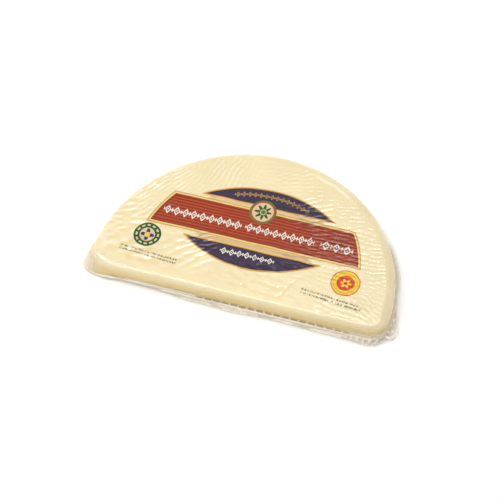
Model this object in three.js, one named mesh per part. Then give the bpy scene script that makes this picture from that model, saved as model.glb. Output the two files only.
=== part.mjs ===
// A half-moon slab of provolone, sealed under vacuum in clear film.
// Millimetres, +Z up. X runs along the straight cut, Y from the cut towards the round rim.
// The origin is the middle of the pack's footprint, on the surface it lies on.
//
// The sealed pack is one closed solid: the slab with its film drawn tight over it, and the
// thin rim where the upper and the lower film are welded together. One section, made of a
// top edge, a wall, the welded rim and a bottom edge, is carried round the slab's outline.
// Beside the left corner the foot of the soft slab has spread outwards.
import * as THREE from 'three';

// The slab, with its film on.
const WHEEL_RADIUS = 120; // of the cheese wheel that the slab was sliced from
const CUT_OFFSET = 15; // from the wheel's centre to the straight cut
const THICKNESS = 20;
const CORNER_RADIUS = 15; // in plan, where the cut meets the rim
const CUT_EDGE_IN = [6.5, 1.6]; // how far in the top edge is rounded, at the cut's left and right
const CUT_EDGE_ENDS = [-105, 20]; // between these the cut's edge turns from the one to the other
const CUT_EDGE_DOWN = 1.4; // how far down it is rounded
const RIM_EDGE = [7, 7]; // how far in and how far down round the rim
const BASE_EDGE_RADIUS = 2;
const CROWN = 0.5; // how much higher the middle of the top is than its edge
const CUT_HOLLOW = 0.5; // how far the vacuum draws the cut face in, half way up

// The spread foot of the slab beside the left corner.
const SPREAD = 8.3; // how far out the foot of the wall is there
const SPREAD_AT = new THREE.Vector2(-122, 8);
const SPREAD_REACH = 10.5;
const LEAN_BACK = 2.5; // how far in the top of the wall leans at the same corner
const LEAN_BACK_AT = new THREE.Vector2(-112, 2.5);
const LEAN_BACK_REACH = 10;
const TIP_EDGE = [3, 2]; // how far in and how far down the top edge is rounded there

// The welded rim of the film.
const WELD_HEIGHT = 2.4; // of the weld's root above the base
const WELD_ROOT = 0.4; // how far out the weld starts from the foot of the wall
const WELD_THICKNESS = 0.6;
const WELD_DROOP = 1.0; // how much lower the free edge hangs than the root
const WELD_RIPPLE = 0.45; // height of the ripples along the free edge
const WELD_WAVES = [[17, 0.5], [29, 0.3], [41, 0.2]]; // each wave's count round the pack and share
const CURL_LIFT = 1.6; // how far the weld curls up beside the left corner
const CURL_AT = new THREE.Vector2(-104, 0);
const CURL_REACH = 14;

// The weld was trimmed by hand, so its width changes on the way round the pack. Each stop
// is a bearing from the middle of the pack, in degrees from +X, and the width there.
const WELD_STOPS = [
  [-162, 0.7],
  [-158, 0.7],
  [-154, 0.5],
  [-146, 1.0],
  [-124, 4.4],
  [-90, 5.5],
  [-58, 3.3],
  [-46, 3.5],
  [-30, 3.9],
  [-25, 4.2],
  [-22, 2.6],
  [-18, 6.1],
  [-14, 3.6],
  [-9, 1.6],
  [-4, 1.4],
  [6, 3.4],
  [16, 3.7],
  [26, 0.9],
  [90, 0.7],
  [190, 0.6],
];
const MIDDLE = new THREE.Vector2(0, 50);

// How finely the section and the outline are divided.
const OUTLINE_STEPS = 200;
const EDGE_STEPS = 6;
const TOP_RINGS = [0.86, 0.7, 0.5, 0.3, 0.12];

// The plan outline, anticlockwise, starting at the left end of the straight cut. It is the
// wheel's circle, cut off by a straight line, with both corners rounded.
function slabOutline() {
  const cornerY = CORNER_RADIUS;
  const cornerX = Math.sqrt((WHEEL_RADIUS - CORNER_RADIUS) ** 2 - (cornerY - CUT_OFFSET) ** 2);
  const rimStart = Math.atan2(cornerY - CUT_OFFSET, cornerX);
  const outline = new THREE.Path();
  outline.moveTo(-cornerX, 0);
  outline.lineTo(cornerX, 0);
  outline.absarc(cornerX, cornerY, CORNER_RADIUS, -Math.PI / 2, rimStart);
  outline.absarc(0, CUT_OFFSET, WHEEL_RADIUS, rimStart, Math.PI - rimStart);
  outline.absarc(-cornerX, cornerY, CORNER_RADIUS, Math.PI - rimStart, 1.5 * Math.PI);
  return outline;
}

// Stations spaced evenly along the outline: a point, the outward normal, how much the
// station belongs to the straight cut (1) or to the rim (0), and the turn along the way.
function stationsAlong(outline) {
  const stations = [];
  for (let i = 0; i < OUTLINE_STEPS; i++) {
    const along = i / OUTLINE_STEPS;
    const point = outline.getPointAt(along);
    const tangent = outline.getTangentAt(along);
    const normal = new THREE.Vector2(tangent.y, -tangent.x);
    const cut = THREE.MathUtils.smoothstep(-normal.y, 0.1, 0.95);
    stations.push({ point, normal, cut, turn: 2 * Math.PI * along });
  }
  return stations;
}

// The weld's width at a point of the outline, eased from stop to stop.
function weldWidth(point) {
  const bearing = THREE.MathUtils.radToDeg(Math.atan2(point.y - MIDDLE.y, point.x - MIDDLE.x));
  const [first, last] = [WELD_STOPS[0], WELD_STOPS.at(-1)];
  const full = THREE.MathUtils.euclideanModulo(bearing - first[0], 360) + first[0];
  const stops = [...WELD_STOPS, [first[0] + 360, first[1]]];
  const next = full >= last[0] ? stops.length - 1 : stops.findIndex((stop) => stop[0] > full);
  const [from, to] = [stops[next - 1], stops[next]];
  return THREE.MathUtils.lerp(from[1], to[1], THREE.MathUtils.smoothstep(full, from[0], to[0]));
}

// 1 at a place and falling off to nothing a little beyond the reach from it.
function nearness(point, place, reach) {
  const away = point.distanceTo(place) / reach;
  return Math.exp(-away * away);
}

// How far the weld's free edge stands above a straight run: ripples, as a sum of waves that
// close on themselves round the outline, and the curl beside the left corner.
function weldRise({ point, turn }) {
  const waves = WELD_WAVES.map(([count, share]) => share * Math.sin(count * (turn + share)));
  const ripple = waves.reduce((sum, wave) => sum + wave);
  return WELD_RIPPLE * ripple + CURL_LIFT * nearness(point, CURL_AT, CURL_REACH);
}

// How far in and how far down the top edge is rounded at a station. It goes by how much the
// station belongs to the cut, and turns sharper over the spread foot.
function topEdge(station, tip) {
  const { lerp, smoothstep } = THREE.MathUtils;
  const cutEdge = [
    lerp(...CUT_EDGE_IN, smoothstep(station.point.x, ...CUT_EDGE_ENDS)),
    CUT_EDGE_DOWN,
  ];
  const sharp = smoothstep(tip, 0.1, 0.7);
  return [0, 1].map((i) => lerp(lerp(RIM_EDGE[i], cutEdge[i], station.cut), TIP_EDGE[i], sharp));
}

// The section at a station, from the top face down and round under the base, as pairs of
// distance outside the outline and height.
function sectionAt(station) {
  const section = [];
  const tip = nearness(station.point, SPREAD_AT, SPREAD_REACH);
  const [edgeIn, edgeDown] = topEdge(station, tip);
  const hollow = -CUT_HOLLOW * station.cut;
  const spread = SPREAD * tip;
  const leanBack = LEAN_BACK * nearness(station.point, LEAN_BACK_AT, LEAN_BACK_REACH);
  const leanAt = (z) => {
    const down = (THICKNESS - z) / (THICKNESS - WELD_HEIGHT);
    return spread * down - leanBack * (1 - down);
  };
  for (let i = 0; i <= EDGE_STEPS; i++) {
    const angle = (Math.PI / 2) * (1 - i / EDGE_STEPS);
    const z = THICKNESS + edgeDown * (Math.sin(angle) - 1);
    section.push([edgeIn * (Math.cos(angle) - 1) + leanAt(z), z]);
  }
  const middle = THREE.MathUtils.lerp(THICKNESS - edgeDown, WELD_HEIGHT, 0.5);
  section.push([hollow + leanAt(middle), middle]);
  section.push([hollow * 0.6 + leanAt(WELD_HEIGHT + 1.2), WELD_HEIGHT + 1.2]);

  const root = spread + WELD_ROOT;
  const width = weldWidth(station.point);
  const rise = weldRise(station);
  const weldAt = (share) => WELD_HEIGHT + share * share * (rise - WELD_DROOP);
  section.push([root, weldAt(0)]);
  section.push([root + 0.5 * width, weldAt(0.5)]);
  section.push([root + width, weldAt(1)]);
  section.push([root + width, weldAt(1) - WELD_THICKNESS]);
  section.push([root + 0.5 * width, weldAt(0.5) - WELD_THICKNESS]);
  section.push([spread + 0.2, weldAt(0) - WELD_THICKNESS]);

  for (let i = 0; i <= 2; i++) {
    const angle = (Math.PI / 4) * i;
    section.push([
      BASE_EDGE_RADIUS * (Math.cos(angle) - 1) - 0.2,
      BASE_EDGE_RADIUS * (1 - Math.sin(angle)) * 0.75,
    ]);
  }
  return section;
}

// The closed skin: rings over the crowned top, the section's rings, and the flat base.
function sealedPackGeometry() {
  const stations = stationsAlong(slabOutline());
  const sections = stations.map(sectionAt);
  const positions = [];
  const addRing = (pointOf) => {
    stations.forEach((station, i) => positions.push(...pointOf(station, sections[i])));
  };

  positions.push(MIDDLE.x, MIDDLE.y, THICKNESS + CROWN);
  for (const share of [...TOP_RINGS].reverse()) {
    addRing((station, section) => {
      const rim = station.point.clone().addScaledVector(station.normal, section[0][0]);
      const at = MIDDLE.clone().lerp(rim, share);
      return [at.x, at.y, THICKNESS + CROWN * (1 - share * share)];
    });
  }
  for (let k = 0; k < sections[0].length; k++) {
    addRing((station, section) => {
      const at = station.point.clone().addScaledVector(station.normal, section[k][0]);
      return [at.x, at.y, section[k][1]];
    });
  }
  positions.push(MIDDLE.x, MIDDLE.y, 0);

  const rings = TOP_RINGS.length + sections[0].length;
  const lastRing = 1 + (rings - 1) * OUTLINE_STEPS;
  const lastPoint = 1 + rings * OUTLINE_STEPS;
  const faces = [];
  for (let i = 0; i < OUTLINE_STEPS; i++) {
    const next = (i + 1) % OUTLINE_STEPS;
    faces.push(0, 1 + i, 1 + next);
    for (let k = 0; k < rings - 1; k++) {
      const upper = 1 + k * OUTLINE_STEPS;
      const lower = upper + OUTLINE_STEPS;
      faces.push(upper + i, lower + i, lower + next, upper + i, lower + next, upper + next);
    }
    faces.push(lastRing + i, lastPoint, lastRing + next);
  }
  const geometry = new THREE.BufferGeometry();
  geometry.setAttribute('position', new THREE.Float32BufferAttribute(positions, 3));
  geometry.setIndex(faces);
  geometry.computeVertexNormals();
  return geometry;
}

// Puts the middle of the footprint at the origin and the base at height 0.
function standOnOrigin(geometry) {
  geometry.computeBoundingBox();
  const { min, max } = geometry.boundingBox;
  geometry.translate(-(min.x + max.x) / 2, -(min.y + max.y) / 2, -min.z);
  return geometry;
}

const sealedPack = new THREE.Mesh(
  standOnOrigin(sealedPackGeometry()),
  new THREE.MeshStandardMaterial({ color: '#f3e6bd', roughness: 0.25, metalness: 0 }),
);
sealedPack.name = 'sealed_pack';

const provolone = new THREE.Group();
provolone.add(sealedPack);
export default provolone;
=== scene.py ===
"""A half-moon slab of provolone in clear, printed vacuum film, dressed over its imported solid.

Lengths are in millimetres in the slab's own plan until a mesh is made: X runs along the
straight cut, Y from the cut towards the round rim, and Z up from the surface it lies on.
"""
from types import SimpleNamespace

import bpy
import numpy as np
from mathutils import Matrix, Vector


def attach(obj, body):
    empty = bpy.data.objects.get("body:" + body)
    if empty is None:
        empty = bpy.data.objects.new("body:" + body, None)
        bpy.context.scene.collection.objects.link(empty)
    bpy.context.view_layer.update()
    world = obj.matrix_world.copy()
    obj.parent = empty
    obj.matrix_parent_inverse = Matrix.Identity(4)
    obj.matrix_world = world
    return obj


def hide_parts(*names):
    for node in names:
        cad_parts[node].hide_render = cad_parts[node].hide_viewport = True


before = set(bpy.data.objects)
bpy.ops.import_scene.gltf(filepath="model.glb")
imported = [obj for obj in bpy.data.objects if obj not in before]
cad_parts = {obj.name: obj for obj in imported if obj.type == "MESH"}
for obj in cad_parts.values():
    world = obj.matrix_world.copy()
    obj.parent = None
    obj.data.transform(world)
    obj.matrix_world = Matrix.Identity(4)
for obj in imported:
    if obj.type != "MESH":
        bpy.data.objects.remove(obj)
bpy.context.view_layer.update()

MM = 0.001
CUT_MIDDLE = (0.675, -65.10)  # the middle of the cut's foot, in the part's frame

# The slab, with its film on.
WHEEL_RADIUS = 120.0
CUT_OFFSET = 15.0  # from the wheel's centre to the cut
THICKNESS = 20.0
CORNER_RADIUS = 15.0
CUT_EDGE_IN = (6.5, 1.6)  # how far in the top edge is rounded, at the cut's left and right
CUT_EDGE_ENDS = (-105.0, 20.0)  # between these the cut's edge turns from the one to the other
CUT_EDGE_DOWN = 1.4  # how far down it is rounded
RIM_EDGE = (7.0, 7.0)  # how far in and how far down round the rim
BASE_EDGE = 1.2
CROWN = 0.5
CUT_HOLLOW = 0.5
MIDDLE = (0.0, 50.0)

# The film and its welded rim.
AIR_GAP = 0.25  # between the cheese and the film drawn over it
WELD_HEIGHT = 2.4
WELD_ROOT = 0.4  # how far out the weld starts from the foot of the wall
WELD_THICKNESS = 0.35
WELD_DROOP = 1.0  # how much lower the free edge hangs than the root
WELD_NARROWEST = 0.5
WELD_LOWEST = 0.55  # the upper face stays this far above the base
UNDER_ROOT = 0.2  # how far out the weld's under side starts
HEEL_IN = 0.2  # how far in the film turns under the slab
RIDGE_HEIGHT = 0.5  # of the rounded ridge along the weld
RIDGE_MIDDLE = 1.0
RIDGE_REACH = 0.65
FILLET_HEIGHT = 0.78
WELD_RIPPLE = 0.45
WELD_WAVES = ((17, 0.5), (29, 0.3), (41, 0.2))
CURL_LIFT = 1.6
CURL_AT = (-104.0, 0.0)
CURL_REACH = 14.0
CRUMPLED_CORNER = (112.0, 8.0)  # where the weld is widest and most crumpled
CRUMPLED_REACH = 18.0
# The weld's width, by bearing from the middle of the slab in degrees from +X.
WELD_STOPS = (
    (-162, 0.7), (-158, 0.7), (-154, 0.5), (-146, 1.0), (-124, 4.4), (-90, 5.5),
    (-58, 3.3), (-46, 3.5), (-30, 3.9), (-25, 4.2), (-22, 2.6), (-18, 6.1), (-14, 3.6),
    (-9, 1.6), (-4, 1.4), (6, 3.4), (16, 3.7), (26, 0.9), (90, 0.7), (190, 0.6),
)

# The left corner, where the soft slab's foot has spread outwards.
SPREAD = 8.3  # how far out the foot stands
SPREAD_AT = (-122.0, 8.0)
SPREAD_REACH = 10.5
LEAN_BACK = 2.5  # how far in the top of the wall leans at the same corner
LEAN_BACK_AT = (-112.0, 2.5)
LEAN_BACK_REACH = 10.0
TIP_EDGE = (3.0, 2.0)  # how far in and how far down the top edge is rounded there

# The tucks where the film turns into the weld along the cut.
PLEAT_PITCH = 2.75
PLEAT_DEPTH = 0.32
DOT_PITCH = 6.9  # of larger tucks, on the right
DOT_HEIGHT = 0.6
BUNCH_PITCH = 8.0  # over which the tucks crowd together and draw apart
PLEATS_END = (-34.0, -28.0)  # between these, in X, the pleats give way to the larger tucks

# How finely the two skins are divided. Along the cut and along the rim, the distance from
# one station to the next; across the top and down the wall, the number of steps. The rounded
# top edge between those two has EDGE_RINGS.
FILM_STEPS = (0.65, 0.8)
FILM_RINGS = (70, 9)
CHEESE_STEPS = (0.8, 1.2)
CHEESE_RINGS = (62, 7)
EDGE_RINGS = 10

# Patches of wrinkles on the top: middle x and y, reach, bearing of the creases in degrees
# from +X, pitch, height, and how far single creases stray from the bearing, in radians.
WRINKLES = (
    (-84, 80, 22, 55, 3.1, 0.14, 0.12),
    (-86, 94, 13, 46, 3.0, 0.14, 0.12),
    (-104, 46, 18, 26, 4.4, 0.17, 0.3),
    (-40, 110, 22, 78, 3.4, 0.06, 0.14),
    (16, 114, 22, 20, 3.2, 0.085, 0.22),
    (64, 98, 19, 17, 3.0, 0.055, 0.22),
    (100, 77, 19, 8, 2.8, 0.052, 0.25),
    (106, 52, 15, 11, 2.8, 0.052, 0.25),
    (98, 13, 13, -38, 3.4, 0.125, 0.25),
    (78, 9, 16, -6, 3.6, 0.08, 0.25),
    (10, 14, 32, -4, 6.2, 0.10, 0.5),
    (-46, 28, 18, 24, 5.4, 0.105, 0.4),
    (-85, 18, 20, 8, 7.0, 0.15, 0.5),
    (62, 63, 30, 2, 3.4, 0.10, 0.2),
    (0, 62, 60, 1, 3.6, 0.05, 0.2),
    (-38, 39, 9, 32, 3.4, 0.28, 0.2),
    (38, 91, 12, 12, 3.6, 0.24, 0.2),
)
SHARPNESS = 0.4  # how much sharper the crests are than the hollows, or the other way round
FULL_HEIGHT = 0.14  # of wrinkles whose crests and hollows are coloured in full
COARSE_PITCH = 3.4  # crests further apart than this are coloured less
WRINKLE_LIMIT = 0.5  # the height that no wrinkle passes
HOLLOW_LIMIT = 0.12  # the depth that no hollow passes
IMPRESS = 0.5  # share of the wrinkles' height that the cheese has taken up

# Single folds: start x and y, end x and y, width and height. A crease has a height below 0.
FOLDS = (
    (27, 125, 66, 108, 1.0, 0.45),
    (32.7, 3.6, 46.1, 30.6, 0.9, -0.22),
    (-117, 30, -108, 12, 1.6, 0.25),
)

# The print, on the top face.
BAND_MIDDLE = 63.0
BAND_HALF_HEIGHT = 16.4
BAND_END = (1.2, 30.5, 88.4)  # centre x and y and radius of the arcs that end the band
BAND_ROWS = ((-76, -12, 7.1, 4.3), (-9, 47, 7.0, 4.3), (52, 78, 8.6, 4.5))  # ends, period, height
BAND_ROWS_LEVEL = 61.0
STRIPE_PITCH = 2.64
KEYLINE_WIDTHS = (0.6, 2.1)  # from the band's edge in, to the end of each gold line
UPPER_STRIP = (80.9, 1.7, 1.1)  # middle y, half height, and half height inside its gold edge
LOWER_STRIP = (44.6, 2.1, 1.5)
STRIPS_MIDDLE = 2.5
STRIPS_FADE = (49.0, 41.0)  # the strips are gone and in full this far from their middle
UPPER_LENS = (3.15, 3.2, 96.5)  # centre x and y and radius, as for the seals below
UPPER_LENS_FOOT = 82.4
LOWER_LENS = (1.5, 117.4, 93.6)
LOWER_LENS_TOP = 42.5
LENS_EDGE = 1.05
LEFT_SEAL = (-80.9, 34.2, 10.9)
RIGHT_SEAL = (80.4, 32.2, 11.4)
TOP_SEAL = (0.4, 77.8, 10.9)
TICK_ROWS = ((-98, -51, 20.3, -0.06), (49, 98, 18.7, -0.084))  # ends, level and slope
TICK_PITCH = 3.0

# The studio. The light is LIGHT times what shows a white card as white.
LIGHT = 1.07
LAMPS = (  # name, place and size in metres, and brightness in times a white card's
    ("overhead", (-0.18, -0.12, 1.35), 0.7, 5.1),
    ("back_card", (0.05, 0.45, 1.3), 0.35, 7.0),
    ("side_card", (-0.72, 0.10, 1.2), 0.4, 5.0),
    ("front_card", (0.3, -1.5, 0.55), 1.5, 0.3),
)


def srgb(code):
    """A hexadecimal screen colour as linear red, green, blue and 1, let down by LIGHT."""
    parts = [int(code[i:i + 2], 16) / 255 for i in (0, 2, 4)]
    linear = [c / 12.92 if c <= 0.04045 else ((c + 0.055) / 1.055) ** 2.4 for c in parts]
    return (*[c / LIGHT for c in linear], 1.0)


# ---------------------------------------------------------------------- shapes

def smooth(x, low, high):
    """Eases from 0 at low to 1 at high, as t^2 (3 - 2 t)."""
    t = np.clip((x - low) / (high - low), 0, 1)
    return t * t * (3 - 2 * t)


def outline_stretches():
    """Corner middle x, the bearing where a corner meets the rim, and the four lengths."""
    corner_x = np.sqrt((WHEEL_RADIUS - CORNER_RADIUS) ** 2 - (CORNER_RADIUS - CUT_OFFSET) ** 2)
    rim_start = np.arctan2(CORNER_RADIUS - CUT_OFFSET, corner_x)
    corner = CORNER_RADIUS * (rim_start + np.pi / 2)
    rim = WHEEL_RADIUS * (np.pi - 2 * rim_start)
    return corner_x, rim_start, np.array([2 * corner_x, corner, rim, corner])


def outline_at(run):
    """Points and outward normals of the plan outline at distances run along it.

    The cut is a straight line, each corner an arc about (+-corner_x, CORNER_RADIUS), and
    the rim an arc about (0, CUT_OFFSET). On an arc the bearing grows by run / radius.
    """
    corner_x, rim_start, lengths = outline_stretches()
    ends = np.cumsum(lengths)
    where = [run < ends[0], run < ends[1], run < ends[2]]
    bearing = np.select(
        where,
        [-np.pi / 2, -np.pi / 2 + (run - ends[0]) / CORNER_RADIUS,
         rim_start + (run - ends[1]) / WHEEL_RADIUS],
        np.pi - rim_start + (run - ends[2]) / CORNER_RADIUS)
    radius = np.select(where, [0.0, CORNER_RADIUS, WHEEL_RADIUS], CORNER_RADIUS)
    x0 = np.select(where, [run - corner_x, corner_x, 0.0], -corner_x)
    y0 = np.select(where, [0.0, CORNER_RADIUS, CUT_OFFSET], CORNER_RADIUS)
    nx, ny = np.cos(bearing), np.sin(bearing)
    return x0 + radius * nx, y0 + radius * ny, nx, ny


def stations(cut_step, rim_step):
    """Distances along the outline, cut_step apart on the cut and corners, rim_step on the rim."""
    lengths = outline_stretches()[2]
    starts = np.concatenate([[0.0], np.cumsum(lengths)])
    runs = []
    for start, length, step in zip(starts, lengths, (cut_step, cut_step, rim_step, cut_step)):
        count = int(round(length / step))
        runs.append(start + length * np.arange(count) / count)
    return np.concatenate(runs)


def weld_width(x, y):
    """The weld's width at an outline point, eased between the stops round MIDDLE."""
    bearing = np.degrees(np.arctan2(y - MIDDLE[1], x - MIDDLE[0]))
    first = WELD_STOPS[0]
    bearing = np.mod(bearing - first[0], 360) + first[0]
    width = np.zeros_like(bearing)
    for (start, a), (end, b) in zip(WELD_STOPS, (*WELD_STOPS[1:], (first[0] + 360, first[1]))):
        here = (bearing >= start) & (bearing <= end)
        width = np.where(here, a + (b - a) * smooth(bearing, start, end), width)
    return width


def nearness(x, y, place, reach):
    """exp(-(distance from place / reach)^2)."""
    return np.exp(-((x - place[0]) ** 2 + (y - place[1]) ** 2) / reach ** 2)


def cut_share(outline):
    """How much each station belongs to the cut (1) or to the rim (0), by its normal."""
    return smooth(-outline[3], 0.1, 0.95)


def foot_spread(outline):
    """How far out the foot of the wall stands."""
    return SPREAD * nearness(*outline[:2], SPREAD_AT, SPREAD_REACH)


def ripples(x, y, bearing, pitch, seed, waves=36, spread=0.2, reach=1.7):
    """A random field of unit size with crests along bearing.

    It is a sum of cosine waves: each one's length is the pitch times 0.95 to reach, its
    direction is off by a normal amount of size spread, and its phase is drawn at random.
    """
    rng = np.random.default_rng(seed)
    total = np.zeros_like(x)
    for _ in range(waves):
        turn = np.radians(bearing + 90) + rng.normal(0, spread)
        number = 2 * np.pi / (pitch * rng.uniform(0.95, reach))
        phase = rng.uniform(0, 2 * np.pi)
        total += np.cos(number * (x * np.cos(turn) + y * np.sin(turn)) + phase)
    return total / np.sqrt(waves / 2)


def wrinkle_height(x, y):
    """Height of the wrinkles on the top, and how much of a crest or hollow each point is.

    Each patch is its ripples r times its height and exp(-(distance / reach)^2). Left of the
    middle the crests are the sharper and right of it the hollows, because r turns into
    r +- SHARPNESS (r^2 - 1). A fold is its height times exp(-(distance from its line /
    width)^2), let down to nothing at its two ends. A low lip runs along the cut, and close
    to it the wrinkles are drawn flat.
    """
    height, crest, hollow = np.zeros((3, *x.shape))
    for seed, (px, py, reach, bearing, pitch, tall, stray) in enumerate(WRINKLES):
        share = nearness(x, y, (px, py), reach)
        sharp = SHARPNESS if px < 0 else -SHARPNESS
        longest = 1.4 if stray < 0.3 else 1.8
        field = ripples(x, y, bearing, pitch, seed, spread=stray, reach=longest)
        height += tall * share * (field + sharp * (field ** 2 - 1))
        paint = (0.9 + 1.5 * sharp) * min(1, COARSE_PITCH / pitch)
        crest += (tall / FULL_HEIGHT) * paint * share * smooth(field, 0.3, 1.4)
        hollow += (tall / FULL_HEIGHT) * (1.1 + 0.5 * sharp) * share * smooth(-field, 0.1, 1.2)
    for x0, y0, x1, y1, width, tall in FOLDS:
        length = np.hypot(x1 - x0, y1 - y0)
        ux, uy = (x1 - x0) / length, (y1 - y0) / length
        along = ((x - x0) * ux + (y - y0) * uy) / length
        aside = (y - y0) * ux - (x - x0) * uy + 0.6 * np.sin(9 * along)
        line = np.exp(-(aside / width) ** 2) * smooth(along, 0, 0.2) * smooth(along, 1, 0.8)
        height += tall * line
        crest += max(tall, 0) * line * 1.5
        hollow += max(-tall, 0) * line * 6
    lip = 0.06 * np.exp(-((y - 6.5) / 2.0) ** 2) * smooth(x, -112, -96) * smooth(x, 60, 0)
    calm = 1 - 0.85 * smooth(y, 11, 4) * smooth(x, 40, 0) * smooth(x, -112, -100)
    return height * calm + lip, np.clip(crest * calm, 0, 1), np.clip(hollow * calm, 0, 1)


def closed_mesh(name, rings, top, bottom):
    """A closed mesh of rings (K, N, 3) from the top down, with a point to close each end."""
    count, around = rings.shape[:2]
    points = np.concatenate([[top], rings.reshape(-1, 3), [bottom]])
    points[:, :2] += CUT_MIDDLE
    i = np.arange(around)
    after = (i + 1) % around
    start = 1 + around * np.arange(count - 1)[:, None]
    quads = np.stack([start + i, start + around + i, start + around + after, start + after], -1)
    last = 1 + around * (count - 1)
    end = len(points) - 1
    caps = [(0, 1 + a, 1 + b) for a, b in zip(i, after)]
    caps += [(last + a, end, last + b) for a, b in zip(i, after)]
    mesh = bpy.data.meshes.new(name)
    mesh.from_pydata((points * MM).tolist(), [], quads.reshape(-1, 4).tolist() + caps)
    mesh.shade_smooth()
    piece = bpy.data.objects.new(name, mesh)
    bpy.context.scene.collection.objects.link(piece)
    return piece


def surface_normals(rings):
    """Outward unit normals of a grid of rings, from the cross product of its two steps."""
    down = np.gradient(rings, axis=0)
    along = np.roll(rings, -1, axis=1) - np.roll(rings, 1, axis=1)
    normal = np.cross(down, along)
    return normal / np.maximum(np.linalg.norm(normal, axis=2, keepdims=True), 1e-9)


def section_rings(outline, out, z):
    """Rings at distances out beyond the outline and heights z, both (K, N)."""
    x, y, nx, ny = outline
    return np.stack([x + nx * out, y + ny * out, z + np.zeros_like(out)], -1)


def flat_rings(rim, shares, z, crown):
    """Rings that shrink from rim towards MIDDLE by shares, rising from z by the crown."""
    shares = shares[:, None]
    x = MIDDLE[0] + shares * (rim[:, 0] - MIDDLE[0])
    y = MIDDLE[1] + shares * (rim[:, 1] - MIDDLE[1])
    return np.stack([x, y, z + crown * (1 - shares ** 2) + np.zeros_like(x)], -1)


def slab_side(outline, cut, inset, foot, lid_rings, wall_rings):
    """The slab's top, top edge and wall as rings, inset from its outer size.

    The top rises to the crown, the edge is a quarter of an ellipse, and the wall goes down
    to the foot, drawn in along the cut by a hollow that follows sin(pi t). At the left
    corner each point of the edge and wall leans out or in by its share of the way down.
    """
    tip = nearness(*outline[:2], SPREAD_AT, SPREAD_REACH)
    lean_back = LEAN_BACK * nearness(*outline[:2], LEAN_BACK_AT, LEAN_BACK_REACH)

    def side_at(out, z):
        share = (top - z) / (top - foot)
        lean = SPREAD * tip * share - lean_back * (1 - share)
        return section_rings(outline, out - inset + lean, z)

    top = THICKNESS - inset
    to_right = smooth(outline[0], *CUT_EDGE_ENDS)
    cut_edge_in = CUT_EDGE_IN[0] + (CUT_EDGE_IN[1] - CUT_EDGE_IN[0]) * to_right
    sharp = smooth(tip, 0.1, 0.7)
    edge_in = RIM_EDGE[0] + (cut_edge_in - RIM_EDGE[0]) * cut
    edge_in += (TIP_EDGE[0] - edge_in) * sharp
    edge_down = RIM_EDGE[1] + (CUT_EDGE_DOWN - RIM_EDGE[1]) * cut
    edge_down += (TIP_EDGE[1] - edge_down) * sharp
    angle = np.pi / 2 * (1 - np.linspace(0, 1, EDGE_RINGS) ** 0.8)[:, None]
    turned = side_at(edge_in * (np.cos(angle) - 1), top + edge_down * (np.sin(angle) - 1))
    down = np.linspace(0, 1, wall_rings + 1)[1:, None]
    wall_z = (top - edge_down) * (1 - down) + foot * down
    wall = side_at(-CUT_HOLLOW * cut * np.sin(np.pi * down) ** 0.8, wall_z)
    shares = np.linspace(0, 1, lid_rings + 1)[1:-1] ** 0.65
    lid = flat_rings(turned[0], shares, top, CROWN)
    return np.concatenate([lid, turned, wall])


def film_stations():
    """Each station round the film, and how much it belongs to every feature of the foot.

    Along the cut the film is tucked where it turns into the weld: in pleats on the left,
    and in dots, which are larger and further apart, on the right. Both together are tufts.
    """
    run = stations(*FILM_STEPS)
    outline = outline_at(run)
    x, y = outline[:2]
    at = SimpleNamespace(run=run, outline=outline, x=x, y=y)
    at.cut = cut_share(outline)
    at.along_cut = at.cut * smooth(x, -108, -96) * smooth(x, 96, 84)
    at.spread = foot_spread(outline)
    at.curl = nearness(x, y, CURL_AT, 0.6 * CURL_REACH)
    at.crumpled = nearness(x, y, CRUMPLED_CORNER, CRUMPLED_REACH)

    at.pleat = ripples(run, 0 * run, 0, PLEAT_PITCH, 71, spread=0.02)
    bunch = ripples(run, 0 * run, 0, BUNCH_PITCH, 75, spread=0.02)
    on_right = smooth(x, *PLEATS_END)
    at.dots = smooth(np.cos(2 * np.pi * run / DOT_PITCH + 1.4 * bunch), 0.6, 0.95) * on_right
    pleats = smooth(at.pleat + 0.5 * bunch, 0.2, 1.4) * (1 - on_right)
    pleats = pleats + 0.35 * smooth(at.pleat, 0.8, 2)
    at.tufts = np.clip(at.dots + pleats, 0, 1) * at.cut

    width = weld_width(x, y)
    at.wide = smooth(width, 0.9, 2.2)
    ragged = 0.4 * at.wide * ripples(run, 0 * run, 0, 5.0, 73, spread=0.02)
    width = width + at.wide * WELD_ROOT + ragged
    at.width = np.maximum(width, WELD_NARROWEST) + 1.6 * at.curl + at.crumpled
    return at


def drawn_sheet(at):
    """The film's top and wall as rings, and how much of a crest or hollow each point is.

    The wrinkles move each point along the surface's normal, by WRINKLE_LIMIT tanh(height /
    WRINKLE_LIMIT). They fade down the wall, and the tucks move its lowest rings.
    """
    lid_rings, wall_rings = FILM_RINGS
    sheet = slab_side(at.outline, at.cut, 0.0, WELD_HEIGHT + 0.7, lid_rings, wall_rings)
    height, crest, hollow = wrinkle_height(sheet[..., 0], sheet[..., 1])
    fade = np.ones((len(sheet), 1))
    fade[-wall_rings:, 0] = np.linspace(0.8, 0.15, wall_rings)
    foot = np.zeros((len(sheet), 1))
    foot[-3:, 0] = (0.15, 0.8, 1.0)
    tucks = foot * at.cut * (PLEAT_DEPTH * at.pleat + DOT_HEIGHT * at.dots)
    height = WRINKLE_LIMIT * np.tanh(height * fade / WRINKLE_LIMIT) + tucks
    sheet = sheet + surface_normals(sheet) * np.maximum(height, -HOLLOW_LIMIT)[..., None]
    return sheet, crest * fade, hollow * fade


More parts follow.
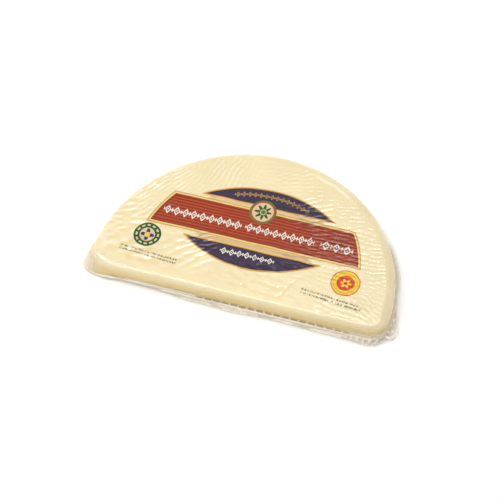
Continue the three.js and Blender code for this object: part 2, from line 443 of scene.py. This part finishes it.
def weld_section(at):
    """The weld's rings from its root out: their place, and what they belong to.

    Its height is that of the root, plus the ripples and the curl times the square of the
    share of the way out, a ridge exp(-((d - RIDGE_MIDDLE) / RIDGE_REACH)^2) at the distance
    d beyond the wall, a fillet that follows exp(-d), and the crumpling.
    """
    x, y, nx, ny = at.outline
    turn = 2 * np.pi * at.run / outline_stretches()[2].sum()
    waves = sum(share * np.sin(count * (turn + share)) for count, share in WELD_WAVES)
    rise = WELD_RIPPLE * waves + CURL_LIFT * at.curl - WELD_DROOP
    share = np.array([0, 0.05, 0.1, 0.16, 0.23, 0.34, 0.5, 0.7, 0.88, 1.0])[:, None]
    beyond = 0.1 + share * (at.width - 0.1)
    out = at.spread + beyond
    ridge = at.wide * at.cut * np.exp(-((beyond - RIDGE_MIDDLE) / RIDGE_REACH) ** 2)
    crumple = ripples(x + nx * out, y + ny * out, 40, 3.4, 72, spread=1.4)
    z = WELD_HEIGHT + share ** 2 * rise + ridge * (RIDGE_HEIGHT + 0.2 * at.cut * at.pleat)
    z += FILLET_HEIGHT * np.exp(-beyond / (0.8 - 0.45 * at.cut))
    z = np.maximum(z + crumple * share * (0.1 + 0.9 * at.crumpled), WELD_LOWEST)
    under_out = at.spread + UNDER_ROOT + share[::-1][:-1] * (at.width - UNDER_ROOT)
    return SimpleNamespace(
        share=share, beyond=beyond, ridge=ridge, crumple=crumple,
        upper=section_rings(at.outline, out, z),
        under=section_rings(at.outline, under_out, z[::-1][:-1] - WELD_THICKNESS))


def film_surface():
    """The film as one closed skin: the drawn-down top and walls, the weld, and the base.

    Under the weld the film turns in to the flat base by a quarter of an ellipse.
    """
    at = film_stations()
    sheet, crest, hollow = drawn_sheet(at)
    weld = weld_section(at)
    heel = np.radians([45.0, 90.0])[:, None]
    heel_z = 0.75 * BASE_EDGE * (1 - np.sin(heel)) + 0 * at.x
    heels = section_rings(at.outline, BASE_EDGE * (np.cos(heel) - 1) - HEEL_IN, heel_z)
    base = flat_rings(heels[-1], np.array([0.9, 0.6, 0.3]), 0.0, 0.0)
    rings = np.concatenate([sheet, weld.upper, weld.under, heels, base])
    film = closed_mesh("film", rings, (*MIDDLE, THICKNESS + CROWN), (*MIDDLE, 0.0))

    marks = np.zeros((6, *rings.shape[:2]))
    mark_wall(marks, rings, at, crest, hollow)
    mark_weld(marks, at, weld, len(sheet))
    names = ("milk_and_highlight", "dent", "shine", "shade", "weld", "over_foot")
    for name, values in zip(names, marks):
        add_attribute(film, name, np.clip(values, 0, 1))
    add_print_map(film, rings)
    return film


def mark_wall(marks, rings, at, crest, hollow):
    """Fills in the marks of the film's top and wall.

    Milk is whitened film with painted highlights: the tufts at the wall's foot are painted
    glints, and the bright line along the top edge beside the left corner is a painted
    highlight. Dent and shine are the hollows and crests, where the ink gets painted shade and
    a painted highlight, most on the right and in two patches of the lower field. Shade is
    painted shade, the brown groove at the wall's foot. Over_foot is milky film on the spread
    foot and at the foot of the round rim, in a pale cream that is partly painted light over
    the shade in the crease there.
    """
    milk_and_highlight, dent, shine, shade, _, over_foot = marks
    wall_end = len(crest)
    plan = rings[:wall_end, :, 0], rings[:wall_end, :, 1]
    pulled = 0.2 + 0.8 * smooth(plan[0], -10, 50)
    lower_patches = 2.0 * nearness(*plan, (-36, 20), 12)
    lower_patches += 0.8 * nearness(*plan, (16, 14), 22) * (1 - pulled)
    pulled = pulled + lower_patches
    # The ink gets painted shade in the hollows and a painted highlight on the crests.
    dent[:wall_end] = hollow * pulled
    shine[:wall_end] = crest * pulled
    # The tufts are whitened film with painted glints; between them the groove gets painted shade.
    milk_and_highlight[wall_end - 2:wall_end] += np.array([0.8, 1.0])[:, None] * at.tufts
    shade[wall_end - 2:wall_end] = np.array([0.35, 1.0])[:, None] * at.along_cut * (1 - at.tufts)

    # The painted highlight, a bright line, runs along the fourth ring of the top edge and reaches
    # six rings off.
    gleam = at.cut * smooth(at.x, -10, -95) * smooth(at.x, -122, -113)
    gleam_width = 1.1 + 1.7 * smooth(at.x, -100, -112)
    gleam_ring = FILM_RINGS[0] + 2
    aside = (np.arange(-6, 7)[:, None] - 0.6 * at.pleat) / gleam_width
    milk_and_highlight[gleam_ring - 6:gleam_ring + 7] = gleam * np.exp(-aside ** 2) * 0.85

    down = (THICKNESS - rings[..., 2]) / THICKNESS
    # Pale cream on the spread foot and the rim's foot: milky film, partly painted light over the
    # crease's shade.
    over_foot[:] = smooth(at.spread, 0.5, 8.0) * smooth(down, -0.05, 0.45)
    round_rim = np.array([0.15, 0.35, 0.6, 0.85, 1.0])[:, None] * (1 - at.along_cut) * at.wide
    lowest = slice(wall_end - 5, wall_end)
    over_foot[lowest] = np.maximum(over_foot[lowest], round_rim)


def mark_weld(marks, at, section, root):
    """Fills in the marks of the weld's upper face, from its root ring out.

    It is whitened with painted highlights on its ridge and tufts, with painted glints where it
    is crumpled and at the curled edge. It has painted brown shade in the groove and a painted
    shadow on the curl's tip, a tan partly painted as the shade beneath it, and a pale cream at
    the root round the rim that is painted light over the crease's shade. Nothing below it is
    marked.
    """
    milk_and_highlight, _, _, shade, weld, over_foot = marks
    end = root + len(section.share)
    tip = smooth(section.share, 0.95, 0.7)
    # Painted highlights on the ridge and tufts, and painted glints where it is crumpled and along
    # the curl.
    milk_and_highlight[root:end] = np.maximum(
        smooth(section.ridge, 0.15, 0.7), at.tufts * smooth(section.beyond, 0.6, 0.2))
    milk_and_highlight[root:end] += 1.6 * at.crumpled * smooth(section.crumple, 0.6, 1.2) + 1.3 * at.curl * tip
    # Painted brown shade in the groove, and a painted shadow under the curl's tip.
    shade[root:end] = 0.9 * smooth(section.beyond, 0.5, 0.2) * at.along_cut * (1 - at.tufts)
    shade[end - 2:end] = np.array([0.5, 1.0])[:, None] * smooth(at.curl, 0.5, 0.9)
    # The weld's tan haze is partly painted shade from beneath it, less of it round the rim.
    weld[root:end] = (1 - 0.75 * smooth(section.share, 0.35, 1.0)) * (0.5 + 0.5 * at.cut)
    # Pale cream at the rim's root: painted light over the shade in the crease.
    over_foot[root:end] += smooth(section.beyond, 2.2, 0.6) * (1 - at.along_cut) * at.wide
    over_foot[end:] = 0


def add_attribute(piece, name, values):
    """Stores a number for each ring point of a closed mesh, with 0 at its two ends."""
    data = piece.data.attributes.new(name, "FLOAT", "POINT").data
    data.foreach_set("value", np.concatenate([[0], values.ravel(), [0]]).astype(np.float32))


def add_print_map(piece, rings):
    """A UV map in millimetres of the slab's plan, pulled about a little by the drawn film."""
    x, y = rings[..., 0], rings[..., 1]
    right = smooth(x, 30, 75)
    pull_x = 0.14 * ripples(x, y, 70, 17, 81, spread=0.8) + 0.07 * right * ripples(x, y, 4, 3.6, 83)
    pull_y = 0.12 * ripples(x, y, 10, 15, 82, spread=0.8) + 0.1 * right * ripples(x, y, 50, 5.0, 84)
    flat = np.stack([x + pull_x, y + pull_y], -1).reshape(-1, 2)
    flat = np.concatenate([[MIDDLE], flat, [MIDDLE]])
    corners = np.zeros(len(piece.data.loops), np.int32)
    piece.data.loops.foreach_get("vertex_index", corners)
    layer = piece.data.uv_layers.new(name="print")
    layer.data.foreach_set("uv", flat[corners].ravel().astype(np.float32))


def cheese_surface():
    """The cheese itself: the slab inside the film, closed by a rounded lower edge.

    It takes up IMPRESS of the film's wrinkles, and a slow random field of a twentieth of a
    millimetre keeps its faces from being quite even.
    """
    outline = outline_at(stations(*CHEESE_STEPS))
    lid_rings, wall_rings = CHEESE_RINGS
    cut = cut_share(outline)
    spread = foot_spread(outline)
    body = slab_side(outline, cut, AIR_GAP, BASE_EDGE, lid_rings, wall_rings)
    x, y, z = np.moveaxis(body, -1, 0)
    height, crest, hollow = wrinkle_height(x, y)
    fade = np.ones((len(body), 1))
    fade[-wall_rings:, 0] = np.linspace(0.8, 0.1, wall_rings)
    height = IMPRESS * np.clip(height, -HOLLOW_LIMIT, WRINKLE_LIMIT) * fade
    height += 0.05 * np.minimum(ripples(x, y + 2 * z, 30, 16, 91, spread=1.5), 2)
    body = body + surface_normals(body) * height[..., None]
    angle = np.linspace(0, np.pi / 2, 6)[1:, None]
    lower_out = spread + BASE_EDGE * (np.cos(angle) - 1) - AIR_GAP
    lower_z = AIR_GAP + BASE_EDGE * (1 - np.sin(angle)) + 0 * spread
    lower = section_rings(outline, lower_out, lower_z)
    base = flat_rings(lower[-1], np.array([0.85, 0.5, 0.2]), AIR_GAP, 0.0)
    rings = np.concatenate([body, lower, base])
    summit = (*MIDDLE, THICKNESS - AIR_GAP + CROWN)
    cheese = closed_mesh("cheese", rings, summit, (*MIDDLE, AIR_GAP))

    # Painted shade: the wall is drawn darker and yellower towards its foot, most on the cut and
    # at the right. The marks of hollows and crests, painted shade and painted highlight, fade
    # over the top edge and down the wall.
    depth = np.clip((THICKNESS - rings[..., 2]) / THICKNESS, 0, 1)
    at_right = smooth(outline[0], 60, 110)
    wall_shade = smooth(depth, 0.03, 0.65) * (0.35 + 0.65 * cut + 0.65 * (1 - cut) * at_right)
    add_attribute(cheese, "wall_shade", wall_shade * (1 - 0.8 * spread / SPREAD))
    side = EDGE_RINGS + wall_rings
    on_top = np.ones((len(body), 1))
    on_top[-side - 2:, 0] = smooth(np.arange(side + 2), side, 0)
    for name, values in (("dent", hollow), ("crest", crest)):
        marks = np.zeros(rings.shape[:2])
        marks[:len(body)] = values * on_top
        add_attribute(cheese, name, marks)
    return cheese


# ------------------------------------------------------------------- materials

class Nodes:
    """A material's node tree, with a short call for each kind of node used here."""

    def __init__(self, name):
        self.material = bpy.data.materials.new(name)
        self.material.use_nodes = True
        self.tree = self.material.node_tree
        self.tree.nodes.clear()
        self.output = self.tree.nodes.new("ShaderNodeOutputMaterial")

    def node(self, kind, inputs=None, **settings):
        """Adds a node, sets its options and fills its sockets with links or plain values."""
        made = self.tree.nodes.new("ShaderNode" + kind)
        for key, value in settings.items():
            setattr(made, key, value)
        for key, value in (inputs or {}).items():
            if isinstance(value, bpy.types.NodeSocket):
                self.tree.links.new(value, made.inputs[key])
            else:
                made.inputs[key].default_value = value
        return made

    def math(self, operation, *values):
        """One Math node on one to three numbers."""
        return self.node("Math", dict(enumerate(values)), operation=operation).outputs[0]

    def paint(self, under, over, cover):
        """The colour over laid on the colour under where cover is 1."""
        mixed = self.node("Mix", {0: cover, 6: under, 7: over}, data_type="RGBA", clamp_factor=True)
        return mixed.outputs[2]

    def less(self, value, amount):
        """value less amount."""
        return self.math("SUBTRACT", value, amount)

    def below(self, value, limit):
        """1 where value is below limit."""
        return self.math("LESS_THAN", value, limit)

    def above(self, value, limit):
        """1 where value is above limit."""
        return self.math("GREATER_THAN", value, limit)

    def near(self, value, middle, reach):
        """1 where value is within reach of middle."""
        return self.math("COMPARE", value, middle, reach)

    def both(self, *masks):
        """The product of masks."""
        total = masks[0]
        for mask in masks[1:]:
            total = self.math("MULTIPLY", total, mask)
        return total

    def any_of(self, *masks):
        """The largest of masks."""
        total = masks[0]
        for mask in masks[1:]:
            total = self.math("MAXIMUM", total, mask)
        return total

    def scaled(self, value, low, high, start=0.0, end=1.0):
        """value carried from low..high to start..end and held there."""
        return self.node("MapRange", {0: value, 1: low, 2: high, 3: start, 4: end}).outputs[0]

    def polar(self, x, y, centre):
        """Distance and bearing of (x, y) from a centre."""
        dx = self.less(x, centre[0])
        dy = self.less(y, centre[1])
        point = self.node("CombineXYZ", {0: dx, 1: dy}).outputs[0]
        distance = self.node("VectorMath", {0: point}, operation="LENGTH").outputs[1]
        return distance, self.math("ARCTAN2", dy, dx)

    def rings(self, distance, stops):
        """A colour for each stretch of distance, from (limit, colour) pairs inside out."""
        reach = stops[-1][0]
        ramp = self.node("ValToRGB", {0: self.math("DIVIDE", distance, reach)})
        colours = ramp.color_ramp
        colours.interpolation = "CONSTANT"
        starts = [0.0] + [limit / reach for limit, _ in stops[:-1]]
        for index, (start, (_, colour)) in enumerate(zip(starts, stops)):
            if index < 2:
                element = colours.elements[index]
                element.position = start
            else:
                element = colours.elements.new(start)
            element.color = colour
        return ramp.outputs[0]

    def finish(self, surface):
        """Puts the surface on the output."""
        self.tree.links.new(surface, self.output.inputs[0])
        return self.material


RED = srgb("98341f")
LIGHT_RED = srgb("b6532f")
DARK_RED = srgb("6d1b13")
GOLD = srgb("dca443")
DEEP_GOLD = srgb("c9953b")
PALE_GOLD = srgb("f0cf84")
DULL_GOLD = srgb("b8934a")
INDIGO = srgb("43354c")
IVORY = srgb("e0c7a1")
TAN = srgb("d9ba8b")
WHITE = srgb("ebe6d8")
GREEN = srgb("345c2b")
LEAF_GREEN = srgb("5d7a3a")
BLUE = srgb("343d74")
AMBER = srgb("f5cb36")
SEAL_RED = srgb("d9460c")
INK = srgb("5e4e2c")
# Painted highlight on the ink's crests.
INK_GLEAM = srgb("ecc8d2")
# Painted shade on the ink in the wrinkles' hollows.
HOLLOW_SHADE_TINT = (0.2, 0.16, 0.18, 1)  # what the ink is multiplied by in the wrinkles' hollows

FILM_CREAM = srgb("f6ebc8")
# The weld's tan: milky film, partly painted shade from beneath it.
WELD_TAN_AND_SHADE = srgb("dccdb1")
# Milky film at the foot, partly painted light.
FOOT_CREAM_AND_LIGHT = srgb("faeccb")
# Painted shade in the groove at the wall's foot.
GROOVE_SHADE_BROWN = srgb("a47a3a")
# Whitened film and painted highlights.
WHITE_FILM_AND_HIGHLIGHT = srgb("fffbee")

CHEESE_CREAM = srgb("f3e3b5")
CHEESE_PALE = srgb("f9e9be")
# Painted shade towards the right.
CHEESE_SHADED_GREY = srgb("e2d4ae")
GRAIN_CREAM = srgb("f0e0b0")
# Painted shade down the wall.
WALL_SHADE_YELLOW = srgb("e6ca80")
# Painted shade in the wrinkles' hollows.
HOLLOW_SHADE_YELLOW = srgb("ecd394")
# Painted highlight on the wrinkles' crests.
CREST_HIGHLIGHT_WHITE = srgb("fffce6")


def frieze(nodes, along, aside, period, tall):
    """A mask of a row of open lozenges with a small solid one inside each and between two.

    In each period u is the distance from its middle; the lozenge is |u| / (0.36 period) +
    |aside| / tall from 0.56 to 1, the one inside it the same sum below 0.26, and the one
    between the same sum, half a period on, below 0.46.
    """
    shifted = nodes.math("ADD", along, 50 * period)
    high = nodes.math("DIVIDE", nodes.math("ABSOLUTE", aside), tall)
    u = nodes.math("PINGPONG", shifted, period / 2)
    open_sum = nodes.math("MULTIPLY_ADD", u, 1 / (0.36 * period), high)
    far = nodes.less(period / 2, u)
    solid_sum = nodes.math("MULTIPLY_ADD", far, 1 / (0.36 * period), high)
    return nodes.any_of(
        nodes.near(open_sum, 0.78, 0.22), nodes.below(solid_sum, 0.46), nodes.below(open_sum, 0.26))


def red_band(nodes, x, y):
    """The red band with its pinstripes, lozenges and double gold keyline: colour and mask."""
    past_edge = nodes.less(nodes.math("ABSOLUTE", nodes.less(y, BAND_MIDDLE)), BAND_HALF_HEIGHT)
    past_end = nodes.less(nodes.polar(x, y, BAND_END)[0], BAND_END[2])
    depth = nodes.math("MULTIPLY", nodes.math("MAXIMUM", past_edge, past_end), -1)
    stripe = nodes.scaled(nodes.math("PINGPONG", y, STRIPE_PITCH / 2), 0.75, 0.35)
    field = nodes.paint(RED, LIGHT_RED, stripe)
    field = nodes.paint(field, DARK_RED, nodes.scaled(depth, 4.6, 3.8, 0, 0.25))
    marks = []
    for start, end, period, tall in BAND_ROWS:
        along = nodes.less(x, start + period / 2)
        row = frieze(nodes, along, nodes.less(y, BAND_ROWS_LEVEL), period, tall)
        marks.append(nodes.both(row, nodes.near(x, (start + end) / 2, (end - start) / 2)))
    field = nodes.paint(field, WHITE, nodes.any_of(*marks))
    first, second = KEYLINE_WIDTHS
    keyline = nodes.rings(depth, ((first, DEEP_GOLD), (second, PALE_GOLD), (3, RED)))
    return nodes.paint(keyline, field, nodes.above(depth, second)), nodes.above(depth, 0)


def pale_strips(nodes, x, y):
    """The strips above and below the band: colour and mask."""
    ends = nodes.scaled(nodes.math("ABSOLUTE", nodes.less(x, STRIPS_MIDDLE)), *STRIPS_FADE)
    upper = nodes.both(nodes.near(y, *UPPER_STRIP[:2]), ends)
    lower = nodes.both(nodes.near(y, *LOWER_STRIP[:2]), ends)
    colour = nodes.paint(PALE_GOLD, IVORY, nodes.near(y, UPPER_STRIP[0], UPPER_STRIP[2]))
    colour = nodes.paint(colour, TAN, nodes.near(y, LOWER_STRIP[0], LOWER_STRIP[2]))
    return colour, nodes.any_of(upper, lower)


def indigo_lenses(nodes, x, y):
    """The dark fields, each cut from a circle by a straight side: colour and mask."""
    far, bearing = nodes.polar(x, y, UPPER_LENS)
    from_arc = nodes.less(far, UPPER_LENS[2])
    over = nodes.math("MAXIMUM", from_arc, nodes.less(UPPER_LENS_FOOT, y))
    under = nodes.less(nodes.polar(x, y, LOWER_LENS)[0], LOWER_LENS[2])
    under = nodes.math("MAXIMUM", under, nodes.less(y, LOWER_LENS_TOP))
    nearest = nodes.math("MINIMUM", over, under)
    colour = nodes.paint(GOLD, INDIGO, nodes.below(nearest, -LENS_EDGE))
    row = frieze(nodes, x, nodes.less(y, 35.6), 6.2, 3.1)
    colour = nodes.paint(colour, WHITE, nodes.both(row, nodes.near(x, 0.3, 21.7)))
    along = nodes.math("MULTIPLY", nodes.less(np.pi / 2, bearing), UPPER_LENS[2])
    row = frieze(nodes, along, nodes.math("ADD", from_arc, 6.6), 4.8, 2.5)
    colour = nodes.paint(colour, DULL_GOLD, nodes.both(row, nodes.near(along, 1.5, 33.6)))
    return colour, nodes.below(nearest, 0)


def petals(nodes, bearing, count, swing, middle):
    """How far a rosette of count petals reaches: middle + swing cos(count bearing)."""
    wave = nodes.math("COSINE", nodes.math("MULTIPLY", bearing, count))
    return nodes.math("MULTIPLY_ADD", wave, swing, middle)


def round_seals(nodes, x, y):
    """The three round seals, each with a rosette in coloured rings: colours and masks."""
    far, bearing = nodes.polar(x, y, TOP_SEAL)
    top = nodes.rings(
        far, ((2.0, LEAF_GREEN), (8.6, IVORY), (9.4, SEAL_RED), (TOP_SEAL[2], LEAF_GREEN)))
    flower = nodes.below(far, petals(nodes, bearing, 8, 1.9, 5.3))
    top = nodes.paint(top, GREEN, nodes.both(flower, nodes.above(far, 2.7)))
    seals = [(top, nodes.below(far, TOP_SEAL[2]))]

    far, bearing = nodes.polar(x, y, LEFT_SEAL)
    left = nodes.rings(far, ((6.2, IVORY), (LEFT_SEAL[2], GREEN)))
    dashes = nodes.above(nodes.math("SINE", nodes.math("MULTIPLY", bearing, 12)), -0.3)
    left = nodes.paint(left, IVORY, nodes.both(nodes.near(far, 8.6, 0.75), dashes))
    left = nodes.paint(left, BLUE, nodes.below(far, petals(nodes, bearing, 4, 1.7, 3.9)))
    left = nodes.paint(left, AMBER, nodes.below(far, 2.3))
    seals.append((left, nodes.below(far, LEFT_SEAL[2])))

    far, bearing = nodes.polar(x, y, RIGHT_SEAL)
    right = nodes.rings(far, (
        (6.9, SEAL_RED), (8.7, AMBER), (9.1, GOLD), (10.7, AMBER), (RIGHT_SEAL[2], SEAL_RED)))
    flower = nodes.below(far, petals(nodes, bearing, 6, 1.2, 3.3))
    right = nodes.paint(right, AMBER, nodes.both(flower, nodes.above(far, 1.5)))
    return [*seals, (right, nodes.below(far, RIGHT_SEAL[2]))]


def tick_rows(nodes, x, y):
    """A mask of two sloping rows of short ticks under each of the lower seals.

    A noise that is the same all along a row's height breaks the row up into groups, and a
    finer one breaks the groups up into ticks.
    """
    rows = []
    for start, end, level, slope in TICK_ROWS:
        lean = nodes.math("MULTIPLY_ADD", nodes.less(x, start), -slope, y)
        off_middle = nodes.math("PINGPONG", nodes.less(lean, level), TICK_PITCH / 2)
        high = nodes.both(
            nodes.below(off_middle, TICK_PITCH / 4), nodes.near(lean, level - TICK_PITCH / 2, 2.4))
        spot = nodes.node("CombineXYZ", {0: x, 1: nodes.math("SNAP", lean, 2.9)}).outputs[0]
        groups = nodes.node("TexNoise", {"Vector": spot, "Scale": 0.35, "Detail": 0.0}).outputs[0]
        ticks = nodes.node("TexNoise", {"Vector": spot, "Scale": 1.6, "Detail": 1.0}).outputs[0]
        span = nodes.near(x, (start + end) / 2, (end - start) / 2)
        rows.append(nodes.both(high, nodes.below(groups, 0.6), nodes.below(ticks, 0.52), span))
    return nodes.any_of(*rows)


def printed(nodes):
    """The film's print: its colour and where it covers the film, on the top face only."""
    place = nodes.node("UVMap", uv_map="print").outputs[0]
    parts = nodes.node("SeparateXYZ", {0: place})
    x, y = parts.outputs[0], parts.outputs[1]
    colour, band = red_band(nodes, x, y)
    strip, strips = pale_strips(nodes, x, y)
    colour = nodes.paint(colour, strip, nodes.both(strips, nodes.less(1, band)))
    masks = [band, strips]
    for over, mask in (indigo_lenses(nodes, x, y), *round_seals(nodes, x, y)):
        colour = nodes.paint(colour, over, mask)
        masks.append(mask)
    ticks = tick_rows(nodes, x, y)
    colour = nodes.paint(colour, INK, ticks)
    height = nodes.node("SeparateXYZ", {0: nodes.node("TexCoord").outputs["Object"]}).outputs[2]
    cover = nodes.any_of(*masks, nodes.both(ticks, 0.8))
    return colour, nodes.both(cover, nodes.above(height, 0.5 * THICKNESS * MM))


def film_material():
    """Clear glossy film: see-through with a gloss that grows towards a grazing view; whitened with
    painted highlights at its tucks, ridge, crumples and left top edge; tan on the weld, partly
    painted shade; pale cream at its foot, partly painted light; painted brown shade in the groove
    at its foot; and solid ink where printed, with painted shade in the wrinkles' hollows and
    painted highlights on their crests."""
    nodes = Nodes("film")
    here = nodes.node("TexCoord").outputs["Object"]
    fine = nodes.node("TexNoise", {"Vector": here, "Scale": 900.0, "Detail": 2.0}).outputs[0]
    broad = nodes.node("TexNoise", {"Vector": here, "Scale": 240.0, "Detail": 1.0}).outputs[0]
    relief = nodes.math("MULTIPLY_ADD", fine, 0.1, broad)
    bump = nodes.node("Bump", {"Height": relief, "Strength": 0.2, "Distance": 0.0006}).outputs[0]
    milk_and_highlight, dent, shine, shade, weld, over_foot = [
        nodes.node("Attribute", attribute_name=name).outputs["Fac"]
        for name in ("milk_and_highlight", "dent", "shine", "shade", "weld", "over_foot")]
    ink, cover = printed(nodes)
    # Painted shade in the wrinkles' hollows and a painted highlight on their crests, over the ink.
    ink_in_shade = nodes.node(
        "Mix", {0: 1.0, 6: ink, 7: HOLLOW_SHADE_TINT}, data_type="RGBA", blend_type="MULTIPLY").outputs[2]
    ink = nodes.paint(ink, ink_in_shade, dent)
    ink = nodes.paint(ink, INK_GLEAM, nodes.math("MULTIPLY", shine, 0.15))

    gloss = nodes.node(
        "BsdfGlossy", {"Color": (1, 1, 1, 1), "Roughness": 0.17, "Normal": bump}).outputs[0]
    clear = nodes.node("BsdfTransparent").outputs[0]
    slant = nodes.node("LayerWeight", {"Blend": 0.5, "Normal": bump}).outputs["Facing"]
    mirror = nodes.math("MULTIPLY_ADD", nodes.math("POWER", slant, 5), 0.94, 0.045)
    skin = nodes.node("MixShader", {0: mirror, 1: clear, 2: gloss}).outputs[0]

    haze = nodes.any_of(
        nodes.scaled(milk_and_highlight, 0, 1, 0.02, 0.85), nodes.scaled(weld, 0, 1, 0, 0.85),
        nodes.scaled(shade, 0, 1, 0, 0.8), nodes.scaled(over_foot, 0, 1, 0, 0.85))
    # Tints: a tan weld partly painted shade, pale cream partly painted light at the foot, painted
    # brown shade in the groove, and white for whitened film and painted highlights.
    tint = nodes.paint(FILM_CREAM, WELD_TAN_AND_SHADE, weld)
    tint = nodes.paint(tint, FOOT_CREAM_AND_LIGHT, over_foot)
    tint = nodes.paint(tint, GROOVE_SHADE_BROWN, shade)
    tint = nodes.paint(tint, WHITE_FILM_AND_HIGHLIGHT, milk_and_highlight)
    body = nodes.paint(tint, ink, cover)
    solid = nodes.node("BsdfPrincipled", {
        "Base Color": body, "Roughness": 0.2, "Normal": bump, "Specular IOR Level": 0.4}).outputs[0]
    share = nodes.math("MAXIMUM", nodes.math("MULTIPLY", cover, 0.97), haze)
    return nodes.finish(nodes.node("MixShader", {0: share, 1: skin, 2: solid}).outputs[0])


def cheese_material():
    """Pale, slightly translucent cheese: cream with slow mottling and a fine close grain, with
    painted shade greyer to the right and darker and yellower down the wall, most on the cut
    face and at the right, painted shade in the wrinkles' hollows, and painted highlights on
    their crests."""
    nodes = Nodes("cheese")
    here = nodes.node("TexCoord").outputs["Object"]
    slow = nodes.node("TexNoise", {"Vector": here, "Scale": 38.0, "Detail": 3.0}).outputs[0]
    grain = nodes.node("TexNoise", {"Vector": here, "Scale": 420.0, "Detail": 4.0}).outputs[0]
    wall_shade = nodes.node("Attribute", attribute_name="wall_shade").outputs["Fac"]
    colour = nodes.paint(CHEESE_CREAM, CHEESE_PALE, nodes.scaled(slow, 0.35, 0.65))
    # Painted shade: greyer towards the right.
    to_right = nodes.node("SeparateXYZ", {0: here}).outputs[0]
    colour = nodes.paint(colour, CHEESE_SHADED_GREY, nodes.scaled(to_right, 0.05, 0.105, 0, 0.4))
    colour = nodes.paint(colour, GRAIN_CREAM, nodes.scaled(grain, 0.5, 0.75, 0, 0.3))
    # Painted shade: darker and yellower down the wall.
    colour = nodes.paint(colour, WALL_SHADE_YELLOW, nodes.math("MULTIPLY", wall_shade, 0.95))
    dent = nodes.node("Attribute", attribute_name="dent").outputs["Fac"]
    crest = nodes.node("Attribute", attribute_name="crest").outputs["Fac"]
    # Painted shade in the wrinkles' hollows and painted highlights on their crests.
    colour = nodes.paint(colour, HOLLOW_SHADE_YELLOW, nodes.math("MULTIPLY", dent, 0.6))
    colour = nodes.paint(colour, CREST_HIGHLIGHT_WHITE, nodes.math("MULTIPLY", crest, 0.95))
    bump = nodes.node("Bump", {"Height": grain, "Strength": 0.15, "Distance": 0.0005}).outputs[0]
    skin = nodes.node("BsdfPrincipled", {
        "Base Color": colour, "Roughness": 0.45, "Normal": bump, "Subsurface Weight": 0.4,
        "Subsurface Radius": (1.0, 0.7, 0.4), "Subsurface Scale": 0.0015}).outputs[0]
    return nodes.finish(skin)


def floor_material():
    """A plain pale surface."""
    nodes = Nodes("floor")
    white = (0.99, 0.99, 0.99, 1)
    pale = nodes.node("BsdfPrincipled", {"Base Color": white, "Roughness": 0.9}).outputs[0]
    return nodes.finish(pale)


# ---------------------------------------------------------- the part and stage

film = film_surface()
film.data.materials.append(film_material())
cheese = cheese_surface()
cheese.data.materials.append(cheese_material())
for piece, slot in ((film, "film"), (cheese, "cheese")):
    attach(piece, "root")
    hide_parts("sealed_pack")


def studio_floor():
    """A wide plane just under the pack."""
    half = 3.0
    drop = -0.0003
    mesh = bpy.data.meshes.new("floor")
    corners = [(-half, -half, drop), (half, -half, drop), (half, half, drop), (-half, half, drop)]
    mesh.from_pydata(corners, [], [(0, 1, 2, 3)])
    mesh.materials.append(floor_material())
    floor = bpy.data.objects.new("floor", mesh)
    bpy.context.scene.collection.objects.link(floor)
    return floor


studio_floor()


def softbox(name, place, size, brightness):
    """A square area light at place, facing the slab, so many times as bright as a card."""
    light = bpy.data.lights.new(name, "AREA")
    light.shape = "SQUARE"
    light.size = size
    light.energy = brightness * np.pi * size ** 2
    lamp = bpy.data.objects.new(name, light)
    lamp.location = place
    lamp.rotation_euler = (-Vector(place)).to_track_quat("-Z", "Y").to_euler()
    bpy.context.scene.collection.objects.link(lamp)


def studio_light():
    """A softbox overhead and three cards, in a room with pale walls and a dimmer ceiling."""
    for name, place, size, brightness in LAMPS:
        softbox(name, place, size, brightness * LIGHT)
    world = bpy.data.worlds.new("studio")
    world.use_nodes = True
    tree = world.node_tree
    background = tree.nodes["Background"]
    background.inputs[0].default_value = (1, 1, 1, 1)
    direction = tree.nodes.new("ShaderNodeTexCoord")
    parts = tree.nodes.new("ShaderNodeSeparateXYZ")
    fall = tree.nodes.new("ShaderNodeMapRange")
    walls_end, ceiling_start = 0.2, 0.6  # as sines of the angle above the horizon
    for index, value in enumerate((walls_end, ceiling_start, LIGHT, 0.3 * LIGHT)):
        fall.inputs[1 + index].default_value = value
    tree.links.new(direction.outputs["Generated"], parts.inputs[0])
    tree.links.new(parts.outputs[2], fall.inputs[0])
    tree.links.new(fall.outputs[0], background.inputs[1])
    bpy.context.scene.world = world
    bpy.context.scene.view_settings.view_transform = "Standard"


studio_light()


def camera():
    """A long lens from the right of the cut and above it, rolled a little clockwise."""
    bearing, height, roll = np.radians((22.0, 57.0, -5.5))
    far = 1.6
    pixels_per_mm = 1.283  # at the distance of the aim
    picture_width = 500
    aim = Vector((-1.64 + CUT_MIDDLE[0], 47.77 + CUT_MIDDLE[1], THICKNESS / 2)) * MM
    level = np.cos(height)
    back = Vector((np.sin(bearing) * level, -np.cos(bearing) * level, np.sin(height)))
    right = Vector((np.cos(bearing), np.sin(bearing), 0))
    up = back.cross(right)
    across = right * np.cos(roll) + up * np.sin(roll)
    upward = up * np.cos(roll) - right * np.sin(roll)
    lens = bpy.data.cameras.new("camera")
    lens.sensor_width = 36.0
    lens.lens = pixels_per_mm * far / MM / picture_width * lens.sensor_width
    lens.clip_end = 20
    viewer = bpy.data.objects.new("camera", lens)
    turn = Matrix((across, upward, back)).transposed().to_4x4()
    viewer.matrix_world = Matrix.Translation(aim + back * far) @ turn
    bpy.context.scene.collection.objects.link(viewer)
    bpy.context.scene.camera = viewer


camera()
